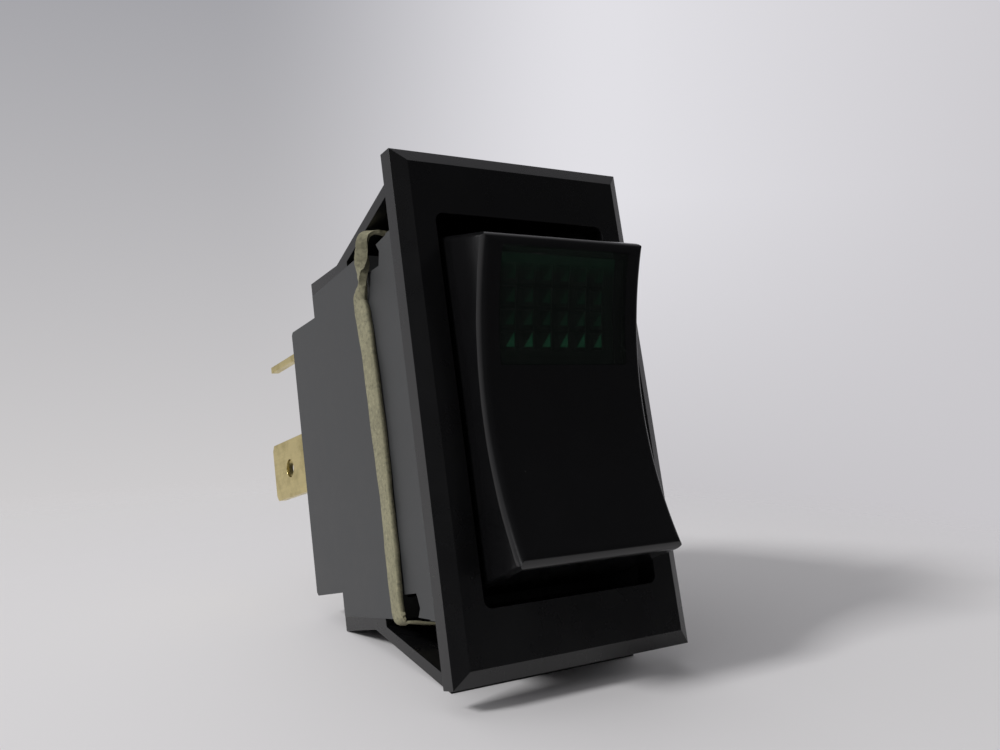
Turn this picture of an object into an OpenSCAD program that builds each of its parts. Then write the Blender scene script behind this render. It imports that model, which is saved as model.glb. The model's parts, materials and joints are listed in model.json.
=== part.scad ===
// Lighted double-pole rocker switch that snaps into a rectangular panel cutout.
// X runs across the switch, Y runs back into the panel and Z runs up.
// The origin is the centre of the bezel's back face, which lies on the panel.

/* [Bezel and snap-in frame] */
// Width of the bezel
bezel_w = 25.4; // [25.2:0.1:26.4]
// Height of the bezel
bezel_h = 45.8; // [45.8:0.1:47]
// Thickness of the bezel in front of the panel
bezel_t = 2.35; // [2.2:0.05:2.6]
// Depth of the bezel's square outer wall, before its bevel
bezel_wall = 1.55; // [1.2:0.05:1.7]
// Width of the bevel round the bezel's front
bezel_bevel = 1.3; // [1:0.1:1.6]
// Angle at which the upper snap-in wing stands out from the housing
upper_wing_angle = 19.7; // [16:0.1:21]
// Angle at which the lower wing stands out
lower_wing_angle = 23.6; // [18:0.1:24]
// Thickness of the snap-in wings
wing_t = 1.1; // [0.9:0.1:1.2]

/* [Housing] */
// Width of the housing behind the panel
body_w = 20.6; // [20.6:0.1:21]
// Depth from the panel to the shoulders of the housing
shoulder_y = 22.25; // [22.05:0.1:22.65]
// Depth from the panel to the back of the terminal block
block_y = 28.55; // [28.25:0.1:29.65]
// Height of the terminal block
block_h = 28.5; // [28.5:0.1:30]

/* [Rocker] */
// Width of the rocker
rocker_w = 17.4; // [17:0.1:17.6]
// Radius of the rocker's hollow front face
face_r = 35.3; // [34.8:0.1:36]
// Lean of the rocker at rest, top end out
rocker_lean = 2.2; // [0:0.1:2.6]

/* [Lens] */
// Width of the lens
lens_w = 13.6; // [13:0.1:13.8]
// Columns of prisms on the back of the lens
prism_columns = 6; // [4:1:8]
// Rows of prisms on the back of the lens
prism_rows = 4; // [3:1:5]

/* [Terminals] */
// Width of a push-on blade
blade_w = 6.35; // [6.2:0.05:6.35]
// Thickness of a push-on blade
blade_t = 0.8; // [0.75:0.05:0.8]
// Length of a blade behind the terminal block
blade_l = 9.5; // [8:0.1:10]
// Diameter of the detent hole in a blade
blade_hole_d = 2; // [1.7:0.1:2.2]
// Width of an upper terminal's pin
pin_w = 0.9; // [0.8:0.1:1]
// Length of a pin behind the terminal block
pin_l = 7.8; // [6:0.1:9]

/* [Hidden] */
$fn = 48;
LEFT = 0;
RIGHT = 1;
cut = 0.5;            // how far a cutting shape runs past a face
slot_gap = 0.05;      // gap round a terminal in its slot

// Opening of the bezel and cavity of the housing
opening_w = 18.6;
opening_h = 34;
opening_r = 0.8;
cavity_w = opening_w;
end_front_z = 17.85;  // half height of the housing at the panel
end_rear_z = 16.6;    // half height of the housing at its shoulders
ledge_y = 5.75;       // depth of the ledges that stop the rocker
cavity_z = 15.4;      // half height of the cavity behind the ledges
shelf_y = 20.25;      // depth of the cavity next to the shoulders
floor_z = 13;         // half height of the terminal floor
floor_y = 21.45;      // depth of the terminal floor
well_z = 3.3;         // half height of the well under the contact pivots
well_y = 22.25;
block_chamfer = 0.3;

// Legs, straps and wings of the frame
leg_w = 12.8;
leg_in_z = 17;
leg_out_z = 18;
strap_w = 20.2;
strap_z = 18.05;
strap_y = 13.85;      // where the strap widens to the housing's full width
hook_t = 0.4;
hook_z = 16.2;
wing_root_y = 16.15;
wing_tip_y = 3.35;
wing_step = 0.45;     // steps at the wing's tip that bite behind the panel

// Rocker, in its own frame with the pivot at the origin and no lean
pivot_y = 4.15;
pivot_d = 3;
trunnion_x = body_w / 2 - 0.4; // the trunnions stop short of the housing's outside
bearing_gap = 0.05;
face_d = 9.63;        // from the pivot to the middle of the hollow face
axis_d = face_d + face_r;
edge_r = 0.8;         // rounding along the sides of the face
tip_r = 0.9;          // rounding of the rocker's ends
end_draft = 12.9;     // slope of the rocker's ends
end_d = 16.08;        // from the pivot to the plane of a rocker end
corner_r = 0.6;       // rounding of the rocker's corners, seen from the front
skirt_y = -2;         // back of the rocker's walls
wall_t = 1.1;
cap_t = 1.7;
lug_r = 3.2;
tube_d = 4.8;
tube_bore_d = 3.15;
tube_y = 4.2;
tube_floor_y = -5.5;
pole_x = 5.1;         // distance of each pole from the middle

// Lens, in the rocker's frame
lens_z0 = 3;
lens_z1 = 12.65;
lens_gap = 0.05;
lens_flange = 0.45;
prism_d = 0.75;
prism_z0 = 3.8;
prism_pitch_z = 1.9;
prism_pitch_x = 1.92;

// Plungers and their springs, in the rocker's frame
plunger_d = 3;
plunger_tip_y = 13.9;
plunger_top_y = -1;
spring_seat_y = 3;
spring_bore_d = 2.3;
spring_d = 2;
spring_wire = 0.3;
spring_turns = 8;

// Contact rockers, in their own frame with their pivot at the origin
contact_pivot_y = 18.95;
contact_lean = -0.6 * rocker_lean;
contact_w = 4.5;
contact_t = 0.7;
contact_top = -0.65;
contact_knee_z = 3.6;
contact_end_z = 8.9;
knee_angle = 10;
end_angle = 7.2;
contact_pin_d = 1.6;
contact_pin_l = 6.2;
button_z = 7.2;
button_d = 3;
button_gap = 0.03;    // gap left between closed contacts

// Terminals and links
common_x = 9.5;       // middle plane of a common blade
blade_hole_y = 4.5;   // from a blade's tip to its detent hole
load_x = 9.45;        // middle of a load pin
load_z = 11.8;
pin_t = 0.7;
ear_t = 0.8;
ear_z = 2.2;
ear_top_y = 18.35;
shelf_half_z = 3.1;
load_shelf_z0 = 5;
load_shelf_x0 = 2;
fixed_button_d = 3.4;
fixed_button_t = 0.6;
link_w = 0.9;
link_pad = [2.3, 7.4, 5.6, 9.2]; // a contact pad's inner and outer |x|, then its |z|
bridge_y = 19.05;
bridge_t = 0.6;

// Lamp
lamp_z = 8.4;
lamp_d = 4.3;
lamp_front_y = 1.45;
lamp_seat_y = 11.65;
lead_d = 0.5;
resistor_z = 4.4;
cup_d = 6.2;

// Back of an arm and face of a fixed contact, both from the contact rocker's pivot
button_y0 = (contact_top + contact_t - contact_knee_z * tan(knee_angle)) * cos(end_angle)
    + contact_knee_z * sin(end_angle);
button_y1 = floor_y - blade_t - fixed_button_t - contact_pivot_y - button_gap;

block_z = block_h / 2;
blade_tip_y = block_y + blade_l;
rocker_x = rocker_w / 2;

// Half height of the housing's end face at depth y
function end_z(y) = end_front_z + (end_rear_z - end_front_z) * y / shoulder_y;

// ---- Helpers ----

// A side outline drawn as (y, z), with its thickness across X
module side_profile(width) {
    rotate([90, 0, 90]) linear_extrude(width, center = true) children();
}

// A front outline drawn as (x, z), from depth y0 to y1
module front_profile(y0, y1) {
    translate([0, y1, 0]) rotate([90, 0, 0]) linear_extrude(y1 - y0) children();
}

// A round bar along Y
module bar_y(d, y0, y1) {
    translate([0, y0, 0]) rotate([-90, 0, 0]) cylinder(d = d, h = y1 - y0);
}

// A box from its low corner to its high corner
module box(low, high) {
    translate(low) cube(high - low);
}

module both_ends() {
    children();
    lower_end() children();
}

module lower_end() {
    mirror([0, 0, 1]) children();
}

module both_sides() {
    children();
    mirror([1, 0, 0]) children();
}

// Pole pieces are drawn for the left pole, at negative X
module on_side(side) {
    mirror([side, 0, 0]) children();
}

module in_rocker() {
    translate([0, pivot_y, 0]) rotate([rocker_lean, 0, 0]) children();
}

module in_contact(side) {
    on_side(side) translate([-pole_x, contact_pivot_y, 0]) rotate([contact_lean, 0, 0]) children();
}

// ---- Bezel, legs, straps and wings, moulded in one ----

module bezel_plate() {
    intersection() {
        side_profile(bezel_w + cut) polygon([
            [0, -bezel_h / 2], [0, bezel_h / 2], [-bezel_wall, bezel_h / 2],
            [-bezel_t, bezel_h / 2 - bezel_bevel], [-bezel_t, bezel_bevel - bezel_h / 2],
            [-bezel_wall, -bezel_h / 2]
        ]);
        linear_extrude(bezel_h + cut, center = true) polygon([
            [-bezel_w / 2, 0], [bezel_w / 2, 0], [bezel_w / 2, -bezel_wall],
            [bezel_w / 2 - bezel_bevel, -bezel_t], [bezel_bevel - bezel_w / 2, -bezel_t],
            [-bezel_w / 2, -bezel_wall]
        ]);
    }
}

module rounded_opening(w, h, r) {
    square([w, h - 2 * r], center = true);
    square([w - 2 * r, h], center = true);
    for (x = [-1, 1], z = [-1, 1]) translate([x * (w / 2 - r), z * (h / 2 - r)]) circle(r);
}

// One strap with its hook over the shoulder and its wing towards the panel
module strap_and_wing(angle) {
    rise = tan(angle);
    tip_z = strap_z + (wing_root_y - wing_tip_y) * rise;
    in = wing_t / cos(angle);
    side_profile(strap_w) polygon([
        [strap_y, end_z(strap_y)], [shoulder_y, end_z(shoulder_y)],
        [shoulder_y, hook_z], [shoulder_y + hook_t, hook_z], [shoulder_y + hook_t, strap_z],
        [wing_root_y, strap_z], [wing_tip_y, tip_z], [wing_tip_y, tip_z - wing_step],
        [wing_tip_y + wing_step, tip_z - wing_step],
        [wing_tip_y + wing_step, tip_z - in - wing_step * rise],
        [strap_y, strap_z + (wing_root_y - strap_y) * rise - in]
    ]);
}

module bezel_frame() color([0.05, 0.05, 0.055]) {
    difference() {
        bezel_plate();
        front_profile(-bezel_t - cut, cut) rounded_opening(opening_w, opening_h, opening_r);
    }
    both_ends() box([-leg_w / 2, -cut, leg_in_z], [leg_w / 2, strap_y + cut, leg_out_z]);
    strap_and_wing(upper_wing_angle);
    lower_end() strap_and_wing(lower_wing_angle);
}

// ---- Housing with the terminal block ----

module body_outline() {
    polygon([
        [0, -end_front_z], [0, end_front_z], [shoulder_y, end_rear_z], [shoulder_y, block_z],
        [block_y - block_chamfer, block_z], [block_y, block_z - block_chamfer],
        [block_y, block_chamfer - block_z], [block_y - block_chamfer, -block_z],
        [shoulder_y, -block_z], [shoulder_y, -end_rear_z]
    ]);
}

// Relief pocket at a front corner of the housing's side wall
module corner_pocket() {
    translate([-body_w / 2, 0, 0]) side_profile(4.2) polygon([
        [5.05, 18.5], [5.05, 17.45], [7.15, 17.2], [6.65, 16.4], [7.05, 15.1], [10.45, 15.1],
        [10.45, 18.5]
    ]);
}

module body_cavity() {
    half = cavity_w / 2;
    box([-half, -cut, -opening_h / 2], [half, ledge_y, opening_h / 2]);
    box([-half, 0, -cavity_z], [half, shelf_y, cavity_z]);
    box([-half, 0, -floor_z], [half, floor_y, floor_z]);
    box([-half, 0, -well_z], [half, well_y, well_z]);
}

module terminal_slots() {
    blade = [blade_t / 2 + slot_gap, 0, blade_w / 2 + slot_gap];
    translate([-common_x, 0, 0]) box([0, floor_y - slot_gap, 0] - blade, [0, block_y + cut, 0] + blade);
    pin = [pin_w / 2 + slot_gap, 0, pin_t / 2 + slot_gap];
    translate([-load_x, 0, load_z]) box([0, shelf_y, 0] - pin, [0, block_y + cut, 0] + pin);
}

module switch_body() color([0.2, 0.2, 0.21]) {
    difference() {
        side_profile(body_w) body_outline();
        body_cavity();
        both_sides() both_ends() corner_pocket();
        both_ends() box([-leg_w / 2, -cut, leg_in_z], [leg_w / 2, strap_y + cut, leg_out_z]);
        both_sides() terminal_slots();
        translate([0, pivot_y, 0]) rotate([0, 90, 0])
            cylinder(d = pivot_d + 2 * bearing_gap, h = 2 * (trunnion_x + bearing_gap), center = true);
    }
    // Barrier between the poles, with a gate for the links
    difference() {
        box([-0.6, 10.65, -cavity_z], [0.6, floor_y, -1]);
        box([-1, bridge_y - 0.6, -6.8], [1, floor_y + cut, 0]);
    }
}

// ---- Rocker ----

// Section of the rocker's hollow face, as (radius, x)
module face_section(w, r0, r1, rounding) {
    translate([r0 + rounding, -w / 2]) square([r1 - r0 - rounding, w]);
    translate([r0, rounding - w / 2]) square([r1 - r0, w - 2 * rounding]);
    for (s = [-1, 1]) translate([r0 + rounding, s * (w / 2 - rounding)]) circle(rounding);
}

// Turns a section about the axis in front of the rocker, from angle a0 to a1
module turned_face(a0, a1) {
    translate([0, -axis_d, 0]) rotate([90, 0, 90]) rotate([0, 0, a0])
        rotate_extrude(angle = a1 - a0, $fn = 180) children();
}

// Height of the end plane at depth y
function end_line(y) = (end_d + y * sin(end_draft)) / cos(end_draft);

// Centre of the rounding between the face and the end plane
tip_a = end_draft + asin((end_d - tip_r + axis_d * -sin(end_draft)) / (face_r + tip_r));
tip_c = [(face_r + tip_r) * cos(tip_a) - axis_d, (face_r + tip_r) * sin(tip_a)];

// Side outline of the rocker's ends, moved inwards by inset, from the front to y_back
module end_outline(inset, y_back) {
    front = -axis_d + 20;
    k = inset / cos(end_draft);
    polygon([
        [front, k - end_line(front)], [front, end_line(front) - k],
        [y_back, end_line(y_back) - k], [y_back, k - end_line(y_back)]
    ]);
}

// Corner of the outline beyond the rounding at a rocker end
module tip_corner() {
    to_end = [-sin(end_draft), cos(end_draft)];
    to_face = [-cos(tip_a), -sin(tip_a)];
    difference() {
        polygon([
            tip_c, tip_c + 3 * tip_r * to_face, tip_c + 4 * tip_r * (to_end + to_face),
            tip_c + 3 * tip_r * to_end
        ]);
        translate(tip_c) circle(tip_r);
    }
}

// Corner between an end plane and a side, beyond its rounding
module end_corner() {
    slope = [[1, 0, 0, 0], [0, 1, 0, 0], [0, tan(end_draft), 1, 0], [0, 0, 0, 1]];
    multmatrix(slope) translate([-rocker_x, 0, end_line(0)]) front_profile(-20, 0) difference() {
        translate([-1, -corner_r]) square([1 + corner_r, corner_r + 1]);
        translate([corner_r, -corner_r]) circle(corner_r);
    }
}

module rocker_shell() {
    difference() {
        intersection() {
            turned_face(-30, 30) face_section(rocker_w, face_r, face_r + 12, edge_r);
            side_profile(rocker_w + 2) difference() {
                end_outline(0, skirt_y);
                tip_corner();
                mirror([0, 1]) tip_corner();
            }
        }
        both_sides() both_ends() end_corner();
        // Hollow behind the face
        side_profile(rocker_w - 2 * wall_t) difference() {
            end_outline(wall_t, skirt_y + cut);
            translate([-axis_d, 0]) circle(face_r + cap_t, $fn = 180);
        }
    }
}

module rocker() color([0.03, 0.03, 0.035]) in_rocker() {
    difference() {
        union() {
            rocker_shell();
            both_sides() translate([-rocker_x, 0, 0]) {
                rotate([0, 90, 0]) cylinder(r = lug_r, h = wall_t);
                box([0, skirt_y - cut, -lug_r], [wall_t, 0, lug_r]);
            }
            both_sides() translate([-pole_x, 0, 0]) bar_y(tube_d, -axis_d + face_r + 1, tube_y);
        }
        both_sides() translate([-pole_x, 0, 0]) bar_y(tube_bore_d, tube_floor_y, tube_y + cut);
        box(
            [-lens_w / 2 - lens_gap, -20, lens_z0 - lens_gap],
            [lens_w / 2 + lens_gap, -3, lens_z1 + lens_gap]
        );
    }
    // Shoulders and trunnions that turn in the housing's side walls
    both_sides() {
        translate([-cavity_w / 2 + 0.15, 0, 0]) rotate([0, 90, 0])
            cylinder(d = pivot_d + 1.6, h = cavity_w / 2 - 0.15 - rocker_x + 0.3);
        translate([-trunnion_x, 0, 0]) rotate([0, 90, 0])
            cylinder(d = pivot_d, h = trunnion_x - rocker_x + 0.5);
    }
}

// ---- Lens, with crossing grooves that leave prisms on its back ----

module lens() color([0.02, 0.35, 0.15, 0.8]) in_rocker() {
    back_r = face_r + cap_t;
    row_angle = prism_pitch_z / (back_r + prism_d) * 180 / PI;
    first_angle = asin(prism_z0 / back_r);
    half_cols = prism_columns * prism_pitch_x / 2;
    intersection() {
        turned_face(0, 30) translate([face_r, -lens_w / 2]) square([cap_t, lens_w]);
        box([-lens_w, -20, lens_z0], [lens_w, 0, lens_z1]);
    }
    // Flange that bears on the back of the rocker's face
    intersection() {
        turned_face(0, 30) translate([back_r, -lens_w / 2 - lens_flange])
            square([0.4, lens_w + 2 * lens_flange]);
        box([-lens_w, -20, lens_z0 - lens_flange], [lens_w, 0, lens_z1 + 0.3]);
    }
    // Prisms
    difference() {
        turned_face(first_angle, first_angle + prism_rows * row_angle)
            translate([back_r, -half_cols]) square([prism_d, 2 * half_cols]);
        turned_face(0, 30) for (i = [0 : prism_columns])
            polygon([
                [back_r + 0.1, i * prism_pitch_x - half_cols],
                [back_r + prism_d + 0.1, (i + 0.53) * prism_pitch_x - half_cols],
                [back_r + prism_d + 0.1, (i - 0.53) * prism_pitch_x - half_cols]
            ]);
        for (i = [0 : prism_rows]) translate([0, -axis_d, 0])
            rotate([first_angle + i * row_angle, 0, 0]) side_profile(2 * half_cols + 2) polygon([
                [back_r + 0.1, 0], [back_r + prism_d + 0.2, 0.55 * prism_pitch_z],
                [back_r + prism_d + 0.2, -0.55 * prism_pitch_z]
            ]);
    }
}

// ---- Plungers and springs ----

// A round-ended rod on the Y axis, from y0 to the tip at y1
module domed_rod(d, y0, y1) {
    r = d / 2;
    rotate([-90, 0, 0]) rotate_extrude() {
        translate([0, y0]) square([r, y1 - r - y0]);
        intersection() {
            translate([0, y1 - r]) circle(r);
            translate([0, y1 - r - 0.01]) square([r, r + 0.01]);
        }
    }
}

module plunger(side) color([0.85, 0.84, 0.78]) in_rocker() on_side(side) translate([-pole_x, 0, 0])
    difference() {
        domed_rod(plunger_d, plunger_top_y, plunger_tip_y);
        bar_y(spring_bore_d, plunger_top_y - cut, spring_seat_y);
    }

// A wire swept round a helix along Y, from y0 to y1
module coil(d, wire, y0, y1, turns) {
    steps = 12;
    sides = 6;
    rings = turns * steps;
    r = (d - wire) / 2;
    points = [for (i = [0 : rings], k = [0 : sides - 1])
        let (a = 360 * i / steps, b = 360 * k / sides, rr = r + wire / 2 * cos(b))
        [rr * cos(a), y0 + wire / 2 + (y1 - y0 - wire) * i / rings + wire / 2 * sin(b), rr * sin(a)]];
    walls = [for (i = [0 : rings - 1], k = [0 : sides - 1])
        let (a = i * sides, b = (i + 1) * sides, n = (k + 1) % sides)
        each [[a + k, a + n, b + n], [a + k, b + n, b + k]]];
    ends = [[for (k = [sides - 1 : -1 : 0]) k], [for (k = [0 : sides - 1]) rings * sides + k]];
    polyhedron(points, concat(walls, ends));
}

module plunger_spring(side) color([0.7, 0.7, 0.72]) in_rocker() on_side(side)
    translate([-pole_x, 0, 0]) coil(spring_d, spring_wire, tube_floor_y, spring_seat_y, spring_turns);

// ---- Contact rockers and their buttons ----

function knee_y() = contact_top - contact_knee_z * tan(knee_angle);
function arm_y(z) = knee_y() - (z - contact_knee_z) * tan(end_angle);

module contact_rocker(side) color([0.8, 0.5, 0.3]) in_contact(side) {
    side_profile(contact_w) polygon([
        [contact_top, 0], [knee_y(), contact_knee_z], [arm_y(contact_end_z), contact_end_z],
        [arm_y(contact_end_z) + contact_t, contact_end_z], [knee_y() + contact_t, contact_knee_z],
        [contact_top + contact_t, 0.8], [contact_top + contact_t, -0.8],
        [knee_y() + contact_t, -contact_knee_z], [arm_y(contact_end_z) + contact_t, -contact_end_z],
        [arm_y(contact_end_z), -contact_end_z], [knee_y(), -contact_knee_z]
    ]);
    rotate([0, 90, 0]) cylinder(d = contact_pin_d, h = contact_pin_l, center = true);
}

// Buttons on the backs of the arms, square to the fixed contacts when they close
module moving_contacts(side) color([0.8, 0.8, 0.82]) in_contact(side) both_ends()
    rotate([end_angle, 0, 0]) translate([0, 0, button_z]) bar_y(button_d, button_y0, button_y1);

// ---- Terminals ----

// A push-on blade along Y in the YZ plane, with a chamfered tip and a detent hole
module blade(y0) {
    side_profile(blade_t) difference() {
        polygon([
            [y0, -blade_w / 2], [blade_tip_y - 0.4, -blade_w / 2], [blade_tip_y, 0.6 - blade_w / 2],
            [blade_tip_y, blade_w / 2 - 0.6], [blade_tip_y - 0.4, blade_w / 2], [y0, blade_w / 2]
        ]);
        translate([blade_tip_y - blade_hole_y, 0]) circle(d = blade_hole_d);
    }
}

module common_terminal(side) color([0.82, 0.72, 0.42]) on_side(side) {
    ear_x = contact_w / 2 + 0.1;
    difference() {
        union() {
            translate([-common_x, 0, 0]) blade(floor_y);
            box(
                [-common_x - blade_t / 2, floor_y, -shelf_half_z],
                [-pole_x + ear_x + ear_t, well_y, shelf_half_z]
            );
            for (s = [-1, 1]) translate([-pole_x + s * (ear_x + ear_t / 2), 0, 0])
                box([-ear_t / 2, ear_top_y, -ear_z], [ear_t / 2, well_y, ear_z]);
        }
        // Half-round seats of the contact rocker's pivot, open to the front
        translate([-pole_x, contact_pivot_y, 0]) {
            rotate([0, 90, 0]) cylinder(d = contact_pin_d + 2 * bearing_gap, h = 8, center = true);
            box([-4, -2, -contact_pin_d / 2 - bearing_gap], [4, 0, contact_pin_d / 2 + bearing_gap]);
        }
    }
}

// Contact shelf with a pin that leaves the block behind its outer corner
module load_terminal(side) color([0.82, 0.72, 0.42]) on_side(side) {
    shelf_y0 = floor_y - blade_t;
    top_z = load_z + pin_t / 2;
    box([-load_x - pin_w / 2, shelf_y0, top_z - pin_t], [-load_x + pin_w / 2, block_y + pin_l, top_z]);
    box([-cavity_w / 2 + 0.1, shelf_y0, load_shelf_z0], [-load_shelf_x0, floor_y, top_z]);
}

// ---- Links that cross from each lower contact to the other pole's load terminal ----

// Slanting strip between the poles, as (x, z), from the lower left to the upper right
module slant(z0, z1) {
    slope = (link_pad[0] + link_w / 2) / button_z;
    polygon([
        [z0 * slope - link_w / 2, z0], [z0 * slope + link_w / 2, z0],
        [z1 * slope + link_w / 2, z1], [z1 * slope - link_w / 2, z1]
    ]);
}

module link_pad_outline() {
    translate([-link_pad[1], -link_pad[3]])
        square([link_pad[1] - link_pad[0], link_pad[3] - link_pad[2]]);
}

module cross_link_flat() color([0.82, 0.72, 0.42]) {
    front_profile(floor_y - blade_t, floor_y) {
        link_pad_outline();
        slant(-7.2, load_shelf_z0);
    }
}

module cross_link_bridge() color([0.82, 0.72, 0.42]) mirror([1, 0, 0]) {
    lap_y = floor_y - blade_t;
    front_profile(lap_y, floor_y) {
        link_pad_outline();
        slant(-7.2, -6.2);
    }
    front_profile(bridge_y, lap_y + 0.1) slant(-7.2, -6.2);
    front_profile(bridge_y, bridge_y + bridge_t) slant(-7.2, load_shelf_z0 + 1);
    front_profile(bridge_y, lap_y) slant(load_shelf_z0 + 0.1, load_shelf_z0 + 1);
}

module fixed_contacts(z) color([0.8, 0.8, 0.82]) both_sides() translate([-pole_x, 0, z])
    bar_y(fixed_button_d, floor_y - blade_t - fixed_button_t, floor_y - blade_t);

// ---- Lamp ----

module lamp() color([0.9, 0.6, 0.4, 0.6]) translate([0, 0, lamp_z])
    mirror([0, 1, 0]) domed_rod(lamp_d, -lamp_seat_y, -lamp_front_y);

// A wire through a list of points
module wire(points, d) {
    for (i = [0 : len(points) - 2]) hull() {
        translate(points[i]) sphere(d = d, $fn = 8);
        translate(points[i + 1]) sphere(d = d, $fn = 8);
    }
}

// Leads down from the lamp and back to the shelves of the common terminals
module lamp_leads() color([0.75, 0.75, 0.77]) both_sides()
    wire([
        [-0.9, lamp_seat_y + lead_d / 2, lamp_z], [-0.9, lamp_seat_y + lead_d / 2, resistor_z],
        [-1.5, 13.65, resistor_z], [-1.5, 17.45, resistor_z], [-2.28, 18.25, 3.3], [-2.28, 21.2, 2.8]
    ], lead_d);

module lamp_resistor() color([0.75, 0.6, 0.4]) translate([1.5, 0, resistor_z])
    bar_y(1.6, 13.65, 17.25);

module lamp_holder() color([0.12, 0.12, 0.13]) difference() {
    union() {
        translate([0, 0, lamp_z]) bar_y(cup_d, 8.65, 13.25);
        box([-1.6, 12.65, 6.8], [1.6, floor_y, 10.2]);
    }
    translate([0, 0, lamp_z]) bar_y(lamp_d + 0.1, 7.65, lamp_seat_y);
    // Slot where the leads leave
    box([-1.3, lamp_seat_y - 0.1, lamp_z - cup_d], [1.3, lamp_seat_y + lead_d + 0.1, lamp_z + lead_d]);
}

// ---- Rubber band looped round the housing ----

band_w = 2;
band_t = 0.55;
// Middle line of the band as [x, y, z, twist], chosen by hand
BAND = [
    [-6.6, 9, -18.32, 0], [-9.9, 9.8, -17.85, 0], [-10.42, 10, -17.7, 0], [-10.66, 10.1, -17.3, -4],
    [-10.66, 10.15, -16.4, -4], [-10.66, 10.1, -13.4, -3], [-10.61, 10.05, -10, 0],
    [-10.64, 9.95, -6.4, -2], [-10.66, 9.9, -2.3, 3], [-10.76, 9.85, 2.9, 9], [-10.81, 9.9, 7.8, 12],
    [-10.81, 9.9, 10.8, 11], [-10.63, 9.95, 12.5, 0], [-10.95, 9.3, 13.4, -22],
    [-11.15, 8.75, 14.2, -38], [-11.26, 8.5, 15, -50], [-11.32, 8.4, 16, -62], [-11.3, 8.4, 17, -95],
    [-11.05, 8.45, 17.8, -135], [-10.6, 8.45, 18.45, -165], [-9.8, 8.45, 18.75, -178],
    [-8.8, 8.45, 18.72, -180], [-6.4, 8.3, 18.42, -180], [-3, 8.2, 18.31, -180], [3, 8.2, 18.31, -180],
    [6.4, 8.3, 18.42, -180], [8.8, 8.45, 18.72, -180], [9.8, 8.45, 18.75, -178],
    [10.6, 8.45, 18.45, -165], [11.05, 8.45, 17.8, -135], [11.3, 8.4, 17, -95], [11.32, 8.4, 16, -62],
    [11.26, 8.5, 15, -50], [11.15, 8.75, 14.2, -38], [10.95, 9.3, 13.4, -22], [10.63, 9.95, 12.5, 0],
    [10.81, 9.9, 10.8, 11], [10.81, 9.9, 7.8, 12], [10.76, 9.85, 2.9, 9], [10.66, 9.9, -2.3, 3],
    [10.64, 9.95, -6.4, -2], [10.61, 10.05, -10, 0], [10.66, 10.1, -13.4, -3],
    [10.66, 10.15, -16.4, -4], [10.66, 10.1, -17.3, -4], [10.42, 10, -17.7, 0], [9.9, 9.8, -17.85, 0],
    [6.6, 9, -18.32, 0]
];

function unit(v) = v / norm(v);

module rubber_band() color([0.66, 0.62, 0.5]) {
    n = len(BAND);
    place = [for (b = BAND) [b[0], b[1], b[2]]];
    points = [for (i = [0 : n - 1])
        let (
            along = unit(place[(i + 1) % n] - place[(i + n - 1) % n]),
            out = unit(cross(along, [0, 1, 0])),
            wide = unit(cross(out, along)),
            turn = BAND[i][3],
            u = cos(turn) * wide + sin(turn) * out,
            v = cos(turn) * out - sin(turn) * wide
        )
        each [for (c = [[-1, -1], [1, -1], [1, 1], [-1, 1]])
            place[i] + c[0] * band_w / 2 * u + c[1] * band_t / 2 * v]];
    faces = [for (i = [0 : n - 1], k = [0 : 3])
        let (a = i * 4, b = ((i + 1) % n) * 4, m = (k + 1) % 4)
        each [[a + k, b + k, b + m], [a + k, b + m, a + m]]];
    polyhedron(points, faces);
}

bezel_frame();
switch_body();
rocker();
lens();
plunger(LEFT);  // plunger_left
plunger(RIGHT);  // plunger_right
plunger_spring(LEFT);  // plunger_spring_left
plunger_spring(RIGHT);  // plunger_spring_right
contact_rocker(LEFT);  // contact_rocker_left
contact_rocker(RIGHT);  // contact_rocker_right
moving_contacts(LEFT);  // moving_contacts_left
moving_contacts(RIGHT);  // moving_contacts_right
common_terminal(LEFT);  // common_terminal_left
common_terminal(RIGHT);  // common_terminal_right
load_terminal(LEFT);  // load_terminal_left
load_terminal(RIGHT);  // load_terminal_right
cross_link_flat();
cross_link_bridge();
fixed_contacts(button_z);  // fixed_contacts_upper
fixed_contacts(-button_z);  // fixed_contacts_lower
lamp();
lamp_leads();
lamp_resistor();
lamp_holder();
rubber_band();
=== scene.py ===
import json
import math

import bmesh
import bpy
from bpy.props import FloatProperty, FloatVectorProperty, IntProperty, PointerProperty
from bpy.types import Node, NodeSocket, Operator, Panel, PropertyGroup
from mathutils import Matrix, Vector

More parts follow.
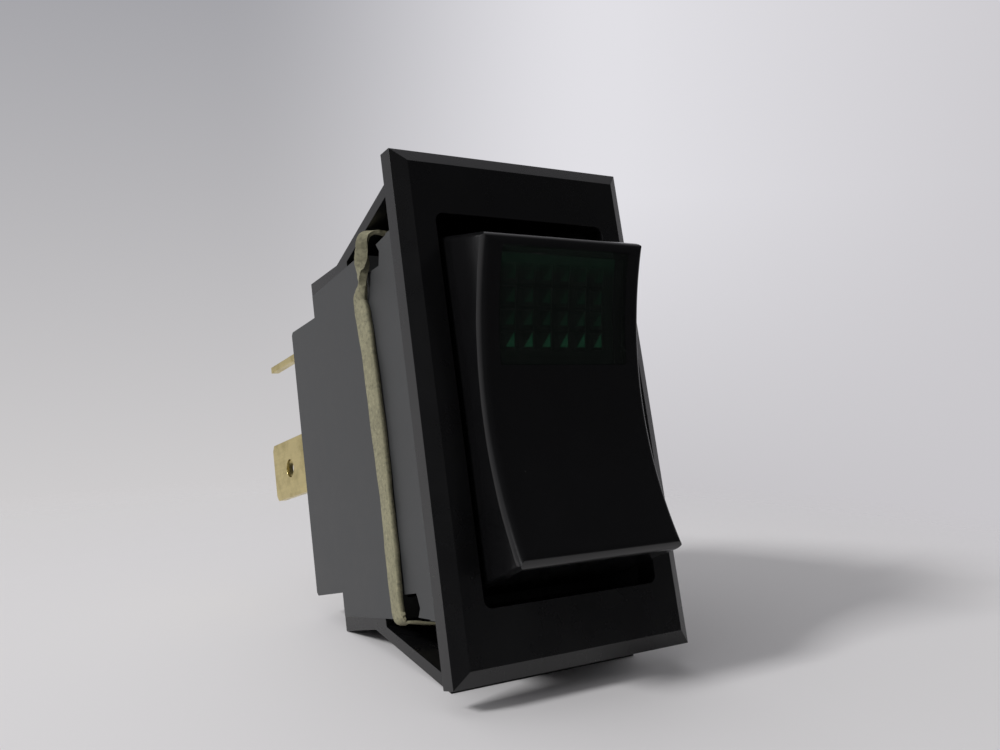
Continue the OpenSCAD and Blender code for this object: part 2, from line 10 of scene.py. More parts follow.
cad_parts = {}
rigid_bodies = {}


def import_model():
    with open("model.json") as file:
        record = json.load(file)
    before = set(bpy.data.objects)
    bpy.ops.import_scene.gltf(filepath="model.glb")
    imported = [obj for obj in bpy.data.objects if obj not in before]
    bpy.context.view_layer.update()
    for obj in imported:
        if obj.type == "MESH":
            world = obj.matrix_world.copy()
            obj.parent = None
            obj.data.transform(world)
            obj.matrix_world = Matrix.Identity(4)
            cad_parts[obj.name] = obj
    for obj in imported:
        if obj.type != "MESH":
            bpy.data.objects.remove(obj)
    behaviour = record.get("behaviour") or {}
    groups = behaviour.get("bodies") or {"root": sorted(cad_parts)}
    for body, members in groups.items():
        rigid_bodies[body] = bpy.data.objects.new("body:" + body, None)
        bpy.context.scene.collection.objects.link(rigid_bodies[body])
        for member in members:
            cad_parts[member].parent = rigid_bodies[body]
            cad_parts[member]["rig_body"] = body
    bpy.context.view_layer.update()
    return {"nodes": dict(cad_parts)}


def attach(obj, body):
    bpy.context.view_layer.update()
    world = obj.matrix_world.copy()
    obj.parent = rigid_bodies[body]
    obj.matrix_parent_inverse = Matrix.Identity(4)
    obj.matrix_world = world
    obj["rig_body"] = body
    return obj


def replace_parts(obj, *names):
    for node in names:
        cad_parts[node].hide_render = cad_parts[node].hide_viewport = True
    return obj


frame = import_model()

bl_info = {
    "name": "Panel rocker switch",
    "version": (1, 0, 0),
    "blender": (4, 5, 0),
    "location": "3D View > Sidebar > Switch",
    "description": "Dresses a lighted snap-in rocker switch and sets it on a pale table",
    "category": "Object",
}

MM = 0.001

# The rocker's own frame: its pivot, and the lean it stands at
PIVOT = Vector((0, 4.15, 0)) * MM
LEAN = math.radians(2.2)
ROCKER_SPACE = Matrix.Translation(PIVOT) @ Matrix.Rotation(LEAN, 4, "X")

# The rocker's hollow face in millimetres: its radius, how far its middle stands in front of the
# rocker's pivot, and how far its axis does
FACE_RADIUS = 35.3
FACE_REACH = 9.63
FACE_AXIS = FACE_REACH + FACE_RADIUS

# The lens in millimetres of the rocker's frame: half its width, its foot and top, the depths
# behind the face that its clear front and its back lie between, and the middle of its lowest
# row of prisms
LENS_HALF_WIDTH = 6.8
LENS_FOOT = 3.0
LENS_TOP = 12.65
FRONT_LAYER = (0.01, 0.55)
BACK_LAYER = (1.75, 2.1)
FIRST_ROW = 5.35

# A prism: the part of its pitch that it fills, the depths of its foot, crown and peak in
# millimetres, and where crown and peak lie, as parts of half its width and height
PRISM_FILL = 0.92
PRISM_FOOT = 1.8
PRISM_CROWN = 1.45
PRISM_PEAK = 1.62
CROWN_CORNERS = ((-0.55, -0.66), (0.5, -0.66), (0.5, 0.76))
PEAK_CORNER = (-0.6, 0.72)

# How much painted glow the back of the lens is given, as parts at places from GLOW_FOOT to
# GLOW_TOP, which are heights in millimetres: an emission that stands in for light in the prisms
GLOW_FOOT = 3
GLOW_TOP = 13
# Painted shade with a faint painted glow for the dark facets and the plate, and a painted lighter
# band near the top
PAINTED_SHADE_GLOW = ((0, 0.03), (0.76, 0.03), (0.88, 0.5), (0.96, 0.4), (1, 0.1))
# Painted glints for the glint facets, brightest in the lowest row
PAINTED_GLINT_GLOW = ((0, 1), (0.32, 1), (0.34, 0.3), (0.7, 0.22), (1, 0.1))

# The resistor's enamel: the ends of its body in millimetres, and the colour that starts at each
# place from one end to the other
BODY_ENDS = (13.65, 17.25)
TAN = "#b08a5a"
RINGS = (
    (0, TAN), (0.2, "#7a3b1e"), (0.3, TAN), (0.4, "#2a2a2a"), (0.5, TAN), (0.6, "#c77a2a"),
    (0.7, TAN), (1, TAN),
)

# Edges and corners: the rounding that a stamping die leaves, the gap under which two corners
# are one, and the angle under which two faces are one
DIE_EDGE = 0.07 * MM
WELD = 0.5e-6
FLAT = math.radians(0.3)

# The place on the table under the tip of the lower wing, and the directions in the room that its
# colours follow: up, across to the right, to the backdrop and to the ceiling over it
TABLE_PLACE = Vector((0, 3.35, -23.66)) * MM
ROOM_WAYS = [
    Vector(way).normalized()
    for way in ((0.01, -0.22, 0.97), (0.83, -0.54, -0.13), (-0.25, 0.97, 0.1), (-0.5, 0.45, 0.75))
]

# Left half of the rubber band, from the middle of the bottom to the middle of the top: its middle
# line in millimetres, its twist in degrees, and its width and thickness in millimetres
BAND_HALF = [
    (0, 8.9, -18.16, 0, 1.9, 0.2), (-6.4, 9.1, -18.16, 0, 1.9, 0.2),
    (-9.6, 9.5, -17.62, 0, 1.9, 0.24), (-10.3, 9.75, -17.5, 0, 1.95, 0.34),
    (-10.62, 9.95, -17.1, -2, 2, 0.48), (-10.67, 10.12, -16.2, -4, 2, 0.55),
    (-10.66, 10.1, -13.4, -3, 2, 0.55), (-10.61, 10.05, -10, 0, 2, 0.55),
    (-10.64, 9.95, -6.4, -2, 2, 0.55), (-10.66, 9.9, -2.3, 3, 2, 0.55),
    (-10.76, 9.85, 2.9, 6, 2, 0.55), (-10.72, 10.1, 7.8, 6, 2, 0.55),
    (-10.74, 10.35, 11, 8, 1.95, 0.55), (-10.8, 10.45, 12.6, 14, 1.6, 0.55),
    (-10.88, 9.9, 13.36, 32, 1.1, 0.56), (-10.83, 9.58, 13.98, 50, 0.78, 0.62),
    (-10.88, 9.42, 14.62, 72, 0.85, 0.95), (-10.82, 9.3, 15.4, 92, 0.9, 1.1),
    (-10.96, 9.0, 16.0, 115, 0.8, 1.2), (-11.06, 8.75, 16.54, 142, 0.7, 1.28),
    (-10.97, 8.75, 17.2, 150, 0.5, 1.15), (-10.87, 8.6, 18.05, 140, 0.5, 1.05),
    (-10.45, 8.45, 18.66, 120, 0.44, 1.1), (-9.7, 8.35, 18.88, 106, 0.36, 1.3),
    (-8.8, 8.3, 18.86, 105, 0.34, 1.5), (-6.4, 8.3, 18.46, 102, 0.44, 1.8),
    (0, 8.1, 18.28, 90, 0.5, 2),
]
# The whole loop: the left half up, and its mirror image down the right side
BAND_ROUTE = BAND_HALF + [(-row[0], *row[1:]) for row in BAND_HALF[-2:0:-1]]


def linear(code):
    """An sRGB hex colour as linear red, green, blue and alpha."""
    parts = [int(code[i : i + 2], 16) / 255 for i in (1, 3, 5)]
    return (*[p / 12.92 if p <= 0.04045 else ((p + 0.055) / 1.055) ** 2.4 for p in parts], 1.0)


# ---------------------------------------------------------------- settings


def colour(name, description, code):
    """A colour setting with an sRGB hex colour as its default."""
    return FloatVectorProperty(
        name=name, description=description, default=linear(code)[:3], subtype="COLOR", min=0, max=1
    )


class SwitchFinish(PropertyGroup):
    black: colour("Black plastic", "Bezel and rocker", "#0b0b0c")
    housing: colour("Housing plastic", "Housing behind the panel", "#353637")
    lens: colour("Lens", "Clear green lens", "#161b17")
    # Colour of the painted glints and painted glow on the lens prisms: an emission that stands in
    # for light they catch
    glint: colour("Lens glints", "Colour of the painted glints on the lens prisms", "#52d898")
    brass: colour("Brass", "Blade terminals", "#d9c98e")
    rubber: colour("Rubber", "Rubber band", "#868269")
    edge: FloatProperty(
        name="Edge radius", description="Rounding left on moulded edges", default=0.12 * MM,
        min=0, max=0.4 * MM, unit="LENGTH", precision=5,
    )


class SwitchLens(PropertyGroup):
    columns: IntProperty(
        name="Columns", description="Prisms across the lens", default=6, min=2, max=9
    )
    rows: IntProperty(name="Rows", description="Prisms up the lens", default=4, min=2, max=6)
    pitch_x: FloatProperty(
        name="Column pitch", description="Spacing of the prisms across", default=1.92 * MM,
        min=1 * MM, max=3 * MM, unit="LENGTH", precision=5,
    )
    pitch_z: FloatProperty(
        name="Row pitch", description="Spacing of the prisms upwards", default=1.9 * MM,
        min=1 * MM, max=3 * MM, unit="LENGTH", precision=5,
    )


class SwitchBand(PropertyGroup):
    girth: FloatProperty(
        name="Girth", description="Scale of the rubber band's section", default=1.0,
        min=0.5, max=1.3, subtype="FACTOR",
    )
    steps: IntProperty(
        name="Steps", description="Sections between two places on the band's route", default=6,
        min=2, max=12,
    )


class SwitchStudio(PropertyGroup):
    lean: FloatProperty(
        name="Lean", description="How far the switch leans back on the table",
        default=math.radians(16.15), min=0, max=math.radians(30), subtype="ANGLE",
    )
    floor: FloatProperty(
        name="Floor", description="Radius of the table top", default=0.12, min=0.05, max=1,
        unit="LENGTH",
    )
    key: FloatProperty(
        name="Window light", description="Power of the window", default=9.7, min=0, max=50,
        subtype="POWER",
    )
    fill: FloatProperty(
        name="Room light", description="Strength of the room's light", default=0.86, min=0, max=2,
        subtype="FACTOR",
    )


# ---------------------------------------------------------------- nodes and materials


def connect(tree, node, **inputs):
    """Sets a node's inputs. Each takes a value, another node's socket, or another node, which
    stands for its first output. _1 is the second input and so on, and an underscore inside a
    name stands for a space."""
    for key, value in inputs.items():
        socket = node.inputs[int(key[1:]) if key[1:].isdigit() else key.replace("_", " ")]
        if isinstance(value, Node):
            value = value.outputs[0]
        if isinstance(value, NodeSocket):
            tree.links.new(value, socket)
        else:
            socket.default_value = value


def add(tree, kind, settings=None, **inputs):
    """Adds a shader node with its settings and its inputs."""
    node = tree.nodes.new("ShaderNode" + kind)
    for key, value in (settings or {}).items():
        setattr(node, key, value)
    connect(tree, node, **inputs)
    return node


def material(name, **surface):
    """A new material with a Principled surface. Gives the material, its node tree, its shader and
    its object coordinates."""
    made = bpy.data.materials.new(name)
    made.use_nodes = True
    tree = made.node_tree
    tree.nodes.clear()
    shader = add(tree, "BsdfPrincipled", **surface)
    add(tree, "OutputMaterial", Surface=shader)
    place = add(tree, "TexCoord").outputs["Object"]
    return made, tree, shader, place


def shade(value, factor):
    """A colour made darker or lighter by a factor."""
    return (*[min(1.0, c * factor) for c in value[:3]], 1.0)


def patches(tree, place, size_mm, low, high, detail=3, roughness=0.5, start=0, end=1):
    """Soft patches about size_mm across, worth start where their noise is low and end where it
    is high."""
    noise = add(
        tree, "TexNoise", Vector=place, Scale=1 / (size_mm * MM), Detail=detail, Roughness=roughness
    )
    return add(
        tree, "MapRange", Value=noise, From_Min=low, From_Max=high, To_Min=start, To_Max=end
    )


def specks(tree, place, spacing_mm, size, share):
    """Small dust specks, one in each kept cell of a grid: size is their radius as a part of the
    spacing, and share is the part of the cells kept."""
    cell = add(tree, "TexVoronoi", Vector=place, Scale=1 / (spacing_mm * MM))
    near = add(tree, "MapRange", Value=cell.outputs["Distance"], From_Min=size, From_Max=size * 0.5)
    lot = add(tree, "SeparateColor", Color=cell.outputs["Color"])
    kept = add(tree, "Math", {"operation": "LESS_THAN"}, _0=lot, _1=share)
    return add(tree, "Math", {"operation": "MULTIPLY"}, _0=near, _1=kept)


def layered(tree, base, *layers):
    """Lays colours over a base one, each of them where its mask is 1."""
    for mask, tone in layers:
        base = add(tree, "Mix", {"data_type": "RGBA"}, _0=mask, _6=base, _7=tone).outputs[2]
    return base


def graded(tree, value, low, high, first, second):
    """A colour that goes from first to second while a value goes from low to high."""
    part = add(tree, "MapRange", Value=value, From_Min=low, From_Max=high)
    return layered(tree, first, (part, second))


def set_ramp(node, stops):
    """Gives a colour ramp its colours, each with its place."""
    elements = node.color_ramp.elements
    for element, (at, tone) in zip(elements, (stops[0], stops[-1])):
        element.position = at
        element.color = tone
    for at, tone in stops[1:-1]:
        elements.new(at).color = tone


def black_nylon(name, polish):
    """Moulded nylon, deep black: a faint orange peel softens what it reflects, and handling
    leaves a thin film and a few specks of dust. Its polish is the mould's own."""
    base = (*bpy.context.scene.switch_finish.black, 1)
    made, tree, shader, place = material(name, IOR=1.53)
    film = patches(tree, place, 5, 0.35, 0.75, detail=4, roughness=0.6)
    dust = specks(tree, place, 3.1, 0.045, 0.10)
    tone = layered(tree, base, (film, shade(base, 1.35)), (dust, linear("#8f8f8a")))
    sheen = add(tree, "MapRange", Value=film, To_Min=polish * 0.92, To_Max=polish * 1.12)
    rough = add(tree, "Math", {"operation": "MAXIMUM"}, _0=sheen, _1=dust)
    peel = add(tree, "TexNoise", Vector=place, Scale=1 / (0.9 * MM), Detail=2)
    bump = add(tree, "Bump", Height=peel, Distance=0.004 * MM)
    connect(tree, shader, Base_Color=tone, Roughness=rough, Normal=bump)
    return made


def housing_nylon():
    """Glass-filled nylon from a spark-eroded mould: dull dark grey with a fine even grain. The
    grain is drawn at 0.22 mm, about twice as coarse as it is, so that it shows."""
    base = (*bpy.context.scene.switch_finish.housing, 1)
    made, tree, shader, place = material("spark-grained nylon", IOR=1.53)
    cloud = patches(tree, place, 6, 0.3, 0.7, detail=4, roughness=0.6)
    dust = specks(tree, place, 2.2, 0.05, 0.14)
    tone = layered(
        tree, shade(base, 0.86), (cloud, shade(base, 1.12)), (dust, linear("#77766f"))
    )
    rough = add(tree, "MapRange", Value=cloud, To_Min=0.44, To_Max=0.58)
    grain = add(tree, "TexNoise", Vector=place, Scale=1 / (0.22 * MM), Detail=2)
    bump = add(tree, "Bump", Height=grain, Distance=0.006 * MM)
    connect(tree, shader, Base_Color=tone, Roughness=rough, Normal=bump)
    return made


def lens_front():
    """Clear green polycarbonate with a polished front, half see-through: almost black over the
    painted glow of the prisms behind it."""
    base = (*bpy.context.scene.switch_finish.lens, 1)
    made, tree, shader, place = material("clear green polycarbonate", IOR=1.58, Alpha=0.5)
    film = patches(tree, place, 3, 0.35, 0.7)
    tone = layered(tree, base, (film, shade(base, 1.25)))
    rough = add(tree, "MapRange", Value=film, To_Min=0.14, To_Max=0.24)
    connect(tree, shader, Base_Color=tone, Roughness=rough)
    return made


def lens_back(name, glow, stops):
    """Green polycarbonate moulded into prisms, dark, with a faint painted glow: an emission that
    stands in for daylight passing through the prisms, though the lens is no lamp. stops gives
    how much at places from the foot of the lens to its top."""
    base = (*bpy.context.scene.switch_finish.glint, 1)
    made, tree, shader, place = material(
        name, Base_Color=shade(base, 0.04), Roughness=0.4, IOR=1.58, Emission_Strength=glow
    )
    height = add(tree, "SeparateXYZ", Vector=place).outputs["Z"]
    part = add(tree, "MapRange", Value=height, From_Min=GLOW_FOOT * MM, From_Max=GLOW_TOP * MM)
    fade = add(tree, "ValToRGB", Fac=part)
    set_ramp(fade, [(at, shade(base, share)) for at, share in stops])
    patch = patches(tree, place, 1.1, 0.3, 0.7, detail=2, start=0.75, end=1.2)
    tone = add(tree, "VectorMath", {"operation": "SCALE"}, _0=fade, Scale=patch)
    # The painted glow: an emission coloured by the ramp, standing in for light the prisms catch
    connect(tree, shader, Emission_Color=tone)
    return made


def stamped_brass():
    """Pale cartridge brass, blanked and tumbled: soft lengthwise streaks, 0.3 mm wide and 4 mm
    long, and dull patches where it has tarnished."""
    base = (*bpy.context.scene.switch_finish.brass, 1)
    made, tree, shader, place = material("stamped pale brass", Metallic=1.0)
    drawn = add(tree, "Mapping", Vector=place, Scale=(8, 0.6, 8))
    streak = patches(tree, drawn, 2.2, 0.3, 0.7)
    tarnish = patches(tree, place, 2.4, 0.45, 0.75, detail=4, roughness=0.65)
    tone = layered(tree, shade(base, 0.88), (streak, base), (tarnish, shade(base, 0.62)))
    rough = add(tree, "MapRange", Value=tarnish, To_Min=0.3, To_Max=0.52)
    bump = add(tree, "Bump", Height=streak, Distance=0.004 * MM)
    connect(tree, shader, Base_Color=tone, Roughness=rough, Normal=bump)
    return made


def aged_rubber():
    """Natural rubber that has hardened and picked up grit: matte, mottled and finely pitted."""
    base = (*bpy.context.scene.switch_finish.rubber, 1)
    made, tree, shader, place = material("aged natural rubber", Roughness=0.85, IOR=1.52)
    stain = patches(tree, place, 2.6, 0.35, 0.7)
    grit = add(tree, "TexNoise", Vector=place, Scale=1 / (0.34 * MM), Detail=4, Roughness=0.7)
    tone = layered(tree, base, (stain, shade(base, 0.82)))
    tone = graded(tree, grit, 0.5, 0.68, tone, shade(base, 0.52))
    tone = graded(tree, grit, 0.42, 0.3, tone, shade(base, 1.3))
    bump = add(tree, "Bump", Height=grit, Distance=0.05 * MM)
    connect(tree, shader, Base_Color=tone, Normal=bump)
    return made


def plain(name, code, size_mm, contrast, **surface):
    """A finish of one colour with a soft variation size_mm across, for the pieces inside."""
    made, tree, shader, place = material(name, **surface)
    cloud = patches(tree, place, size_mm, 0.3, 0.7)
    tone = layered(tree, shade(linear(code), 1 - contrast), (cloud, linear(code)))
    bump = add(tree, "Bump", Height=cloud, Distance=0.003 * MM)
    connect(tree, shader, Base_Color=tone, Normal=bump)
    return made


def banded_enamel():
    """Dipped resistor enamel: smooth tan with painted colour rings."""
    made, tree, shader, place = material("tan enamel", Roughness=0.4, IOR=1.5)
    first, last = BODY_ENDS
    length = add(tree, "SeparateXYZ", Vector=place).outputs["Y"]
    part = add(tree, "MapRange", Value=length, From_Min=first * MM, From_Max=last * MM)
    rings = add(tree, "ValToRGB", Fac=part)
    rings.color_ramp.interpolation = "CONSTANT"
    set_ramp(rings, [(at, linear(code)) for at, code in RINGS])
    connect(tree, shader, Base_Color=rings)
    return made


def dress(node, made):
    """Gives a CAD node its finish."""
    piece = frame["nodes"][node]
    if not piece.material_slots:
        piece.data.materials.append(made)
    for held in piece.material_slots:
        held.link = "OBJECT"
        held.material = made


# ---------------------------------------------------------------- mesh helpers


def finish_piece(name, work, made, body, smooth=35):
    """Turns a bmesh into a named piece that rides on a body and looks smooth where its faces
    meet at less than smooth degrees."""
    mesh = bpy.data.meshes.new(name)
    bmesh.ops.recalc_face_normals(work, faces=work.faces)
    work.to_mesh(mesh)
    work.free()
    # Normals that came along from the node would undo the smoothing
    if "custom_normal" in mesh.attributes:
        mesh.attributes.remove(mesh.attributes["custom_normal"])
    for one in made if isinstance(made, (list, tuple)) else [made]:
        mesh.materials.append(one)
    mesh.shade_smooth()
    mesh.set_sharp_from_angle(angle=math.radians(smooth))
    piece = bpy.data.objects.new(name, mesh)
    bpy.context.scene.collection.objects.link(piece)
    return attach(piece, body)


def eased_copy(node, name, made, radius, least=28):
    """A copy of a CAD node with its edges rounded, as its mould or die leaves them, where they
    turn by more than least degrees."""
    work = bmesh.new()
    work.from_mesh(frame["nodes"][node].data)
    bmesh.ops.remove_doubles(work, verts=work.verts, dist=WELD)
    bmesh.ops.dissolve_limit(work, angle_limit=FLAT, verts=work.verts, edges=work.edges)
    for face in work.faces:
        face.material_index = 0
    sharp = [
        e for e in work.edges if e.is_manifold and e.calc_face_angle(0) > math.radians(least)
    ]
    bmesh.ops.bevel(
        work, geom=sharp, offset=radius, offset_type="OFFSET", segments=2, profile=0.5,
        affect="EDGES", clamp_overlap=True,
    )
    piece = finish_piece(name, work, made, frame["nodes"][node]["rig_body"], smooth=50)
    weights = piece.modifiers.new("Even shading", "WEIGHTED_NORMAL")
    weights.keep_sharp = True
    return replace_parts(piece, node)


def on_face(x, z, depth):
    """The place depth behind the rocker's hollow face at x and z of the rocker's frame, in mm."""
    radius = FACE_RADIUS + depth
    y = math.sqrt(radius * radius - z * z) - FACE_AXIS
    return ROCKER_SPACE @ (Vector((x, y, z)) * MM)


def lens_layer(work, depths, columns=8, rows=24):
    """A closed plate of the lens's outline that follows the rocker's face between two depths."""
    wide, high = 2 * LENS_HALF_WIDTH, LENS_TOP - LENS_FOOT
    layers = [
        [
            [
                work.verts.new(on_face(
                    -LENS_HALF_WIDTH + wide * i / columns, LENS_FOOT + high * k / rows, depth
                ))
                for i in range(columns + 1)
            ]
            for k in range(rows + 1)
        ]
        for depth in depths
    ]
    near, far = layers
    for k in range(rows):
        for i in range(columns):
            for layer in layers:
                low, top = layer[k], layer[k + 1]
                work.faces.new((low[i], low[i + 1], top[i + 1], top[i]))
    for k in range(rows):
        for i in (0, columns):
            work.faces.new((near[k][i], near[k + 1][i], far[k + 1][i], far[k][i]))
    for i in range(columns):
        for k in (0, rows):
            work.faces.new((near[k][i], near[k][i + 1], far[k][i + 1], far[k][i]))


# ---------------------------------------------------------------- pieces


class SWITCH_OT_mouldings(Operator):
    """Make the bezel, the housing and the rocker"""

    bl_idname = "switch.mouldings"
    bl_label = "Bezel, housing and rocker"

    def execute(self, context):
        edge = context.scene.switch_finish.edge
        satin = black_nylon("satin black nylon", polish=0.28)
        polished = black_nylon("polished black nylon", polish=0.19)
        eased_copy("bezel_frame", "bezel_moulding", satin, edge)
        eased_copy("switch_body", "housing_moulding", housing_nylon(), edge)
        eased_copy("rocker", "rocker_moulding", polished, edge, least=40)
        return {"FINISHED"}


class SWITCH_OT_lens(Operator):
    """Make the green lens and the prisms on its back"""

    bl_idname = "switch.lens"
    bl_label = "Lens"

    def execute(self, context):
        sizes = context.scene.switch_lens
        work = bmesh.new()
        lens_layer(work, FRONT_LAYER)
        shell = finish_piece("lens_front", work, lens_front(), "rocker")
        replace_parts(shell, "lens")

        work = bmesh.new()
        lens_layer(work, BACK_LAYER)
        pitch_x, pitch_z = sizes.pitch_x / MM, sizes.pitch_z / MM
        for column in range(sizes.columns):
            for row in range(sizes.rows):
                self.prism(
                    work, (column - (sizes.columns - 1) / 2) * pitch_x, FIRST_ROW + row * pitch_z,
                    pitch_x * PRISM_FILL, pitch_z * PRISM_FILL,
                )
        # The dark facets and the plate get painted shade with a faint painted glow and a lighter
        # painted band at the top; the crown facets get painted glints
        facets = [
            lens_back("green polycarbonate, painted shade facets", 0.04, PAINTED_SHADE_GLOW),
            lens_back("green polycarbonate, painted glint facets", 0.085, PAINTED_GLINT_GLOW),
        ]
        back = finish_piece("lens_prisms", work, facets, "rocker", smooth=5)
        return {"FINISHED"}

    def prism(self, work, x, z, width, height):
        """One prism: a low block whose front is split by its diagonal into a facet with painted
        shade and one with a painted glint."""
        w, h = width / 2, height / 2
        corners = [(x - w, z - h), (x + w, z - h), (x + w, z + h), (x - w, z + h)]
        foot = [work.verts.new(on_face(a, b, PRISM_FOOT)) for a, b in corners]
        crown = [
            work.verts.new(on_face(x + w * a, z + h * b, PRISM_CROWN)) for a, b in CROWN_CORNERS
        ]
        a, b = PEAK_CORNER
        peak = work.verts.new(on_face(x + w * a, z + h * b, PRISM_PEAK))
        # The crown facet takes the painted glint material; the other facet keeps painted shade
        glint_facet = work.faces.new(crown)
        glint_facet.material_index = 1
        ring = [*crown, peak]
        work.faces.new((crown[0], crown[2], peak))
        for i in range(4):
            k = (i + 1) % 4
            work.faces.new((foot[i], foot[k], ring[k], ring[i]))


class SWITCH_OT_terminals(Operator):
    """Make the push-on blades and the pins"""

    bl_idname = "switch.terminals"
    bl_label = "Blades and pins"

    def execute(self, context):
        brass = stamped_brass()
        for side in ("left", "right"):
            eased_copy(f"common_terminal_{side}", f"common_blade_{side}", brass, DIE_EDGE)
            eased_copy(f"load_terminal_{side}", f"load_pin_{side}", brass, DIE_EDGE)
        dress("cross_link_flat", brass)
        dress("cross_link_bridge", brass)
        return {"FINISHED"}


class SWITCH_OT_mechanism(Operator):
    """Give the plungers, springs, contacts and lamp their finishes"""

    bl_idname = "switch.mechanism"
    bl_label = "Mechanism and lamp"

    def execute(self, context):
        # Acetal rod, turned: waxy white
        acetal = plain("white acetal", "#e4e0d0", 2.0, 0.06, Roughness=0.35, IOR=1.48)
        # Music wire, drawn and coiled: grey with a dull shine
        wire = plain("drawn spring wire", "#a9a9ac", 0.6, 0.2, Metallic=1.0, Roughness=0.3)
        # Copper strip, stamped: warm, a little darkened by arcing
        copper = plain("stamped copper strip", "#c98a63", 1.5, 0.3, Metallic=1.0, Roughness=0.38)
        # Silver contact rivet: bright and faintly pitted
        silver = plain("silver contact rivet", "#dcdad2", 0.5, 0.2, Metallic=1.0, Roughness=0.28)
        # Tinned copper wire: pale grey and soft
        tinned = plain("tinned copper wire", "#c6c6c8", 0.8, 0.15, Metallic=1.0, Roughness=0.35)
        # Lamp glass: clear, slightly smoky near the electrodes
        glass = plain(
            "lamp glass", "#d8cfc4", 3.0, 0.1, Roughness=0.05, IOR=1.5, Transmission_Weight=0.9
        )
        # Moulded lamp holder: plain black nylon
        holder = plain("lamp holder nylon", "#1d1d1e", 3.0, 0.1, Roughness=0.5, IOR=1.53)
        for side in ("left", "right"):
            dress(f"plunger_{side}", acetal)
            dress(f"plunger_spring_{side}", wire)
            dress(f"contact_rocker_{side}", copper)
            dress(f"moving_contacts_{side}", silver)
        dress("fixed_contacts_upper", silver)
        dress("fixed_contacts_lower", silver)
        dress("lamp", glass)
        dress("lamp_leads", tinned)
        dress("lamp_resistor", banded_enamel())
        dress("lamp_holder", holder)
        return {"FINISHED"}


class SWITCH_OT_band(Operator):
    """Make the twisted rubber band round the housing"""

    bl_idname = "switch.band"
    bl_label = "Rubber band"

    def execute(self, context):
        sizes = context.scene.switch_band
        stations = [
            self.between(i, k / sizes.steps)
            for i in range(len(BAND_ROUTE)) for k in range(sizes.steps)
        ]
        work = bmesh.new()
        rings = []
        for i, (place, turn, width, thickness) in enumerate(stations):
            along = (stations[(i + 1) % len(stations)][0] - stations[i - 1][0]).normalized()
            out = along.cross(Vector((0, 1, 0))).normalized()
            wide = out.cross(along).normalized()
            u = wide * math.cos(turn) + out * math.sin(turn)
            v = out * math.cos(turn) - wide * math.sin(turn)
            # Old rubber is thicker and thinner by up to a twentieth along its length
            half = sizes.girth / 2 * (1 + 0.03 * math.sin(i * 0.37) + 0.02 * math.sin(i * 1.13))
            rings.append([
                work.verts.new(place + (u * a * width + v * b * thickness) * half)
                for a, b in self.section()
            ])
        for i, ring in enumerate(rings):
            after = rings[(i + 1) % len(rings)]
            for k in range(len(ring)):
                m = (k + 1) % len(ring)
                work.faces.new((ring[k], after[k], after[m], ring[m]))
        band = finish_piece("rubber_loop", work, aged_rubber(), "housing", smooth=60)
        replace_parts(band, "rubber_band")
        return {"FINISHED"}

    def section(self):
        """Half-size outline of the band, cut square with slightly rounded corners."""
        c, s = 0.88, 0.72
        return [(-c, -1), (c, -1), (1, -s), (1, s), (c, 1), (-c, 1), (-1, s), (-1, -s)]

    def between(self, index, t):
        """A point on the smooth closed curve through the route, with its twist and section: t
        goes from 0 to 1 between one row and the next."""
        count = len(BAND_ROUTE)
        rows = [BAND_ROUTE[(index + k) % count] for k in (-1, 0, 1, 2)]
        weights = (
            -0.5 * t + t * t - 0.5 * t ** 3, 1 - 2.5 * t * t + 1.5 * t ** 3,
            0.5 * t + 2 * t * t - 1.5 * t ** 3, -0.5 * t * t + 0.5 * t ** 3,
        )
        mixed = [sum(w * row[k] for w, row in zip(weights, rows)) for k in range(6)]
        return Vector(mixed[:3]) * MM, math.radians(mixed[3]), mixed[4] * MM, mixed[5] * MM


# ---------------------------------------------------------------- stage


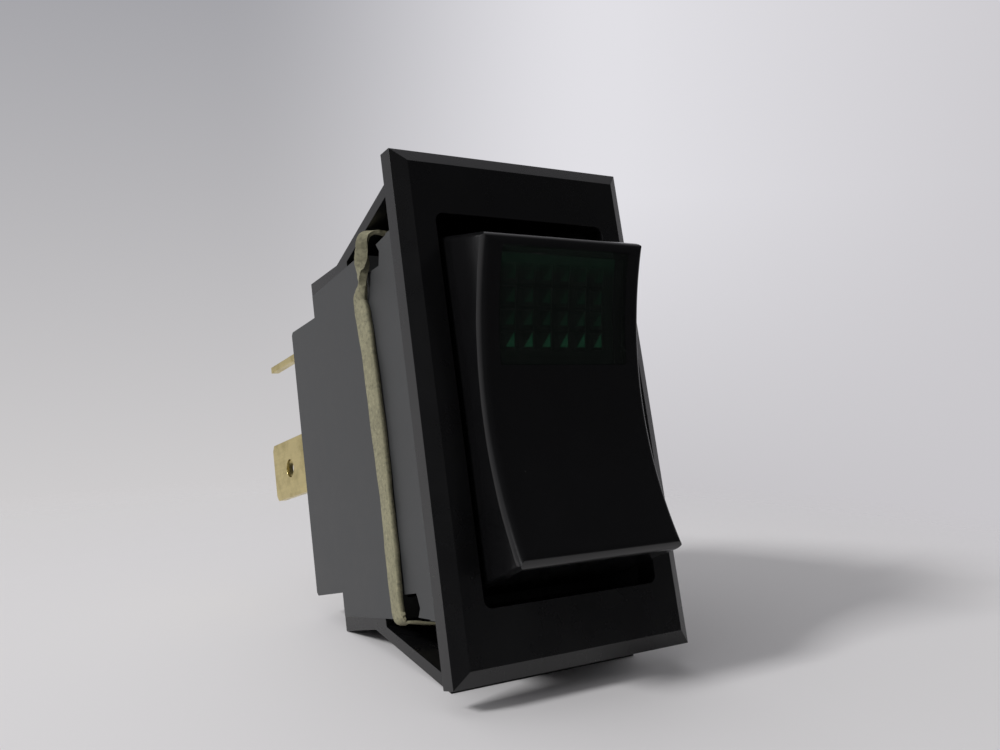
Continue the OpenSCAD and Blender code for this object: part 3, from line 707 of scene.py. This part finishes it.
class SWITCH_OT_stage(Operator):
    """Set up the table, the window light and the camera"""

    bl_idname = "switch.stage"
    bl_label = "Stage"

    def execute(self, context):
        studio = context.scene.switch_studio
        self.table(studio)
        self.room(context.scene, studio)
        self.window(studio)
        self.camera(context.scene)
        context.scene.view_settings.view_transform = "Standard"
        return {"FINISHED"}

    def table(self, studio):
        """A round table top, which the switch touches with its lower wing and a strap's end."""
        up = Vector((0, -math.sin(studio.lean), math.cos(studio.lean)))
        turn = up.to_track_quat("Z", "Y").to_matrix().to_4x4()
        work = bmesh.new()
        bmesh.ops.create_circle(work, cap_ends=True, segments=96, radius=studio.floor)
        mesh = bpy.data.meshes.new("table_top")
        work.to_mesh(mesh)
        work.free()
        top = bpy.data.objects.new("table_top", mesh)
        top.matrix_world = Matrix.Translation(TABLE_PLACE) @ turn
        bpy.context.scene.collection.objects.link(top)
        mesh.materials.append(self.table_paint(studio))

    def table_paint(self, studio):
        """Matte pale grey paint, rolled on: it barely shines, and it thins out to nothing at the
        rim of the table and from below."""
        made, tree, shader, place = material(
            "pale grey paint", Base_Color=linear("#e0dedf"), Roughness=0.6, Specular_IOR_Level=0.2
        )
        reach = add(tree, "VectorMath", {"operation": "LENGTH"}, _0=place).outputs["Value"]
        inner, outer = studio.floor * 0.55, studio.floor * 0.98
        rim = add(tree, "MapRange", Value=reach, From_Min=inner, From_Max=outer)
        below = add(tree, "NewGeometry").outputs["Backfacing"]
        fade = add(tree, "Math", {"operation": "MAXIMUM"}, _0=rim, _1=below)
        mix = add(tree, "MixShader", Fac=fade, _1=shader, _2=add(tree, "BsdfTransparent"))
        out = next(node for node in tree.nodes if node.type == "OUTPUT_MATERIAL")
        connect(tree, out, Surface=mix)
        return made

    def room(self, scene, studio):
        """A pale backdrop behind the switch and a dim room in front of it. The backdrop is dimmer
        on the left, and its two sides differ in how they change upwards."""
        world = bpy.data.worlds.new("room")
        world.use_nodes = True
        tree = world.node_tree
        tree.nodes.clear()
        way = add(tree, "TexCoord").outputs["Generated"]
        height, across, behind, above = (
            add(tree, "VectorMath", {"operation": "DOT_PRODUCT"}, _0=way, _1=aim).outputs["Value"]
            for aim in ROOM_WAYS
        )
        dim_side = graded(tree, height, -0.11, 0.36, linear("#cecccd"), linear("#a1a1a6"))
        lit_side = graded(tree, height, -0.16, 0.17, linear("#bfbdc0"), linear("#e1e0e5"))
        lit_side = graded(tree, across, 0.12, 0.5, lit_side, linear("#c9c7cb"))
        side = add(
            tree, "MapRange", {"interpolation_type": "SMOOTHSTEP"},
            Value=across, From_Min=-0.25, From_Max=0.1,
        )
        backdrop = layered(tree, dim_side, (side, lit_side))
        mirrored = graded(tree, behind, -0.35, 0.45, linear("#3e3e40"), backdrop)
        diffuse = graded(tree, above, -0.1, 0.7, linear("#2c2c2e"), linear("#f2f2f4"))
        path = add(tree, "LightPath").outputs
        crisp = add(
            tree, "Math", {"operation": "MAXIMUM"},
            _0=path["Is Camera Ray"], _1=path["Is Transmission Ray"],
        )
        sharp = add(tree, "Math", {"operation": "MAXIMUM"}, _0=crisp, _1=path["Is Glossy Ray"])
        soft = add(tree, "Background", Color=diffuse, Strength=studio.fill)
        seen = layered(tree, mirrored, (crisp, backdrop))
        clear = add(tree, "Background", Color=seen, Strength=1)
        mix = add(tree, "MixShader", Fac=sharp, _1=soft, _2=clear)
        add(tree, "OutputWorld", Surface=mix)
        scene.world = world

    def window(self, studio):
        """A soft window to the left, well above the table."""
        place = Vector((-0.967, -0.165, 0.69))
        lamp = bpy.data.lights.new("window", "AREA")
        lamp.shape = "SQUARE"
        lamp.size = 0.24
        lamp.energy = studio.key
        held = bpy.data.objects.new("window", lamp)
        held.location = place
        held.rotation_mode = "QUATERNION"
        held.rotation_quaternion = (-place).to_track_quat("-Z", "Y")
        bpy.context.scene.collection.objects.link(held)

    def camera(self, scene):
        """A camera close over the table, to the left of the switch's front."""
        right = Vector((0.8292726, -0.5432463, -0.1311119))
        up = Vector((0.0088138, -0.2218696, 0.9750365))
        back = Vector((-0.5587747, -0.8097267, -0.1792023))
        eye = Vector((-55.2, -75.42, -13.72)) * MM
        made = bpy.data.cameras.new("camera")
        made.lens = 37.43
        made.sensor_width = 36
        made.clip_start = 0.005
        made.clip_end = 10
        held = bpy.data.objects.new("camera", made)
        turn = Matrix((right, up, back)).transposed().to_4x4()
        held.matrix_world = Matrix.Translation(eye) @ turn
        scene.collection.objects.link(held)
        scene.camera = held


class SWITCH_PT_sidebar(Panel):
    """Lists the switch's settings and the buttons that make its pieces"""

    bl_label = "Rocker switch"
    bl_idname = "SWITCH_PT_sidebar"
    bl_space_type = "VIEW_3D"
    bl_region_type = "UI"
    bl_category = "Switch"

    def draw(self, context):
        for group in GROUPS:
            box = self.layout.box()
            held = getattr(context.scene, group)
            for key in held.__annotations__:
                box.prop(held, key)
        for operator in OPERATORS:
            self.layout.operator(operator.bl_idname)


OPERATORS = (
    SWITCH_OT_mouldings,
    SWITCH_OT_lens,
    SWITCH_OT_terminals,
    SWITCH_OT_mechanism,
    SWITCH_OT_band,
    SWITCH_OT_stage,
)
GROUPS = {
    "switch_finish": SwitchFinish,
    "switch_lens": SwitchLens,
    "switch_band": SwitchBand,
    "switch_studio": SwitchStudio,
}


def register():
    for kind in (*GROUPS.values(), *OPERATORS, SWITCH_PT_sidebar):
        bpy.utils.register_class(kind)
    for name, kind in GROUPS.items():
        setattr(bpy.types.Scene, name, PointerProperty(type=kind))


def unregister():
    for name in GROUPS:
        delattr(bpy.types.Scene, name)
    for kind in (SWITCH_PT_sidebar, *reversed(OPERATORS), *GROUPS.values()):
        bpy.utils.unregister_class(kind)


def main():
    register()
    for operator in OPERATORS:
        group, name = operator.bl_idname.split(".")
        getattr(getattr(bpy.ops, group), name)()


if __name__ == "__main__":
    main()
